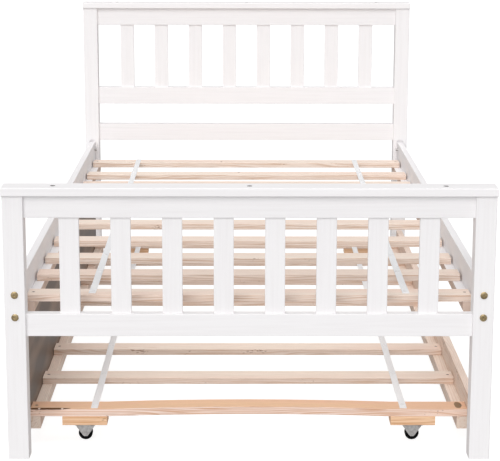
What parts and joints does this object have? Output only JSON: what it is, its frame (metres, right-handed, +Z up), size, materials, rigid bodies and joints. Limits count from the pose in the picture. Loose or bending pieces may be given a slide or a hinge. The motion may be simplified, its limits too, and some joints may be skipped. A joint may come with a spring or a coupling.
{
  "type": "trundle bed",
  "caption": "White painted pine platform bed with slatted headboard and footboard, and a rolling slatted trundle under it for a second mattress.",
  "frame": {"origin": "on the floor at the middle of the bed's length and width", "axes": "+X across the bed, the trundle's tall panel is on -X and it rolls out that way; +Y from the footboard to the headboard; +Z up"},
  "size_m": [1.062, 2.021, 0.85],
  "materials": {
    "white_paint": "satin white paint on solid pine",
    "bare_pine": "sanded, unfinished pine",
    "warm_pine": "sanded, unfinished pine heartwood",
    "panel_board": "board, white paint outside and a bare taupe face inside",
    "webbing": "woven polypropylene webbing",
    "brass_plate": "satin brass-plated steel",
    "zinc_plate": "zinc-plated pressed steel",
    "wheel_rubber": "moulded black rubber"
  },
  "bodies": {
    "bed_frame": {"footboard_post_left": "white_paint", "footboard_post_right": "white_paint", "footboard_top_rail": "white_paint", "footboard_bottom_rail": "white_paint", "footboard_spindles": "white_paint", "footboard_cap": "white_paint", "headboard_post_left": "white_paint", "headboard_post_right": "white_paint", "headboard_top_rail": "white_paint", "headboard_middle_rail": "white_paint", "headboard_lower_rail": "white_paint", "headboard_spindles": "white_paint", "headboard_cap": "white_paint", "side_rail_left": "white_paint", "side_rail_right": "white_paint", "bed_ledger_left": "white_paint", "bed_ledger_right": "white_paint", "bed_slat_01": "bare_pine", "bed_slat_02": "bare_pine", "bed_slat_03": "bare_pine", "bed_slat_04": "bare_pine", "bed_slat_05": "bare_pine", "bed_slat_06": "bare_pine", "bed_slat_07": "bare_pine", "bed_slat_08": "bare_pine", "bed_slat_09": "bare_pine", "bed_slat_10": "bare_pine", "bed_strap_left": "webbing", "bed_strap_right": "webbing", "connector_bolts": "brass_plate", "barrel_nuts": "zinc_plate", "cap_screws": "zinc_plate", "bed_slat_screws": "zinc_plate", "bed_ledger_screws": "zinc_plate", "bed_strap_staples": "zinc_plate"},
    "trundle": {"trundle_front_panel": "panel_board", "trundle_back_rail": "bare_pine", "trundle_ledger_left": "bare_pine", "trundle_ledger_right": "bare_pine", "trundle_slat_1": "warm_pine", "trundle_slat_2": "bare_pine", "trundle_slat_3": "bare_pine", "trundle_slat_4": "bare_pine", "trundle_slat_5": "bare_pine", "trundle_slat_6": "bare_pine", "trundle_slat_7": "bare_pine", "trundle_slat_8": "bare_pine", "trundle_strap_left": "webbing", "trundle_strap_right": "webbing", "trundle_slat_screws": "zinc_plate", "trundle_ledger_screws": "zinc_plate", "trundle_strap_staples": "zinc_plate", "caster_blocks": "warm_pine", "caster_brackets": "zinc_plate", "caster_axles": "zinc_plate", "caster_screws": "zinc_plate"},
    "wheel_front_left": {"caster_wheel_front_left": "wheel_rubber"},
    "wheel_front_right": {"caster_wheel_front_right": "wheel_rubber"},
    "wheel_back_left": {"caster_wheel_back_left": "wheel_rubber"},
    "wheel_back_right": {"caster_wheel_back_right": "wheel_rubber"}
  },
  "joints": [
    {"name": "trundle_slide", "type": "slide", "parent": "bed_frame", "child": "trundle", "axis": [-1, 0, 0], "range_m": [0, 1.05]},
    {"name": "wheel_front_left_spin", "type": "hinge", "parent": "trundle", "child": "wheel_front_left", "pos_m": [-0.372, -0.8655, 0.016], "axis": [0, 1, 0], "continuous": true},
    {"name": "wheel_front_right_spin", "type": "hinge", "parent": "trundle", "child": "wheel_front_right", "pos_m": [0.372, -0.8655, 0.016], "axis": [0, 1, 0], "continuous": true},
    {"name": "wheel_back_left_spin", "type": "hinge", "parent": "trundle", "child": "wheel_back_left", "pos_m": [-0.372, 0.8655, 0.016], "axis": [0, 1, 0], "continuous": true},
    {"name": "wheel_back_right_spin", "type": "hinge", "parent": "trundle", "child": "wheel_back_right", "pos_m": [0.372, 0.8655, 0.016], "axis": [0, 1, 0], "continuous": true}
  ],
  "couplings": [
    {"joint": "wheel_front_left_spin", "follows": "trundle_slide", "rad_per_m": -62.5},
    {"joint": "wheel_front_right_spin", "follows": "trundle_slide", "rad_per_m": -62.5},
    {"joint": "wheel_back_left_spin", "follows": "trundle_slide", "rad_per_m": -62.5},
    {"joint": "wheel_back_right_spin", "follows": "trundle_slide", "rad_per_m": -62.5}
  ]
}
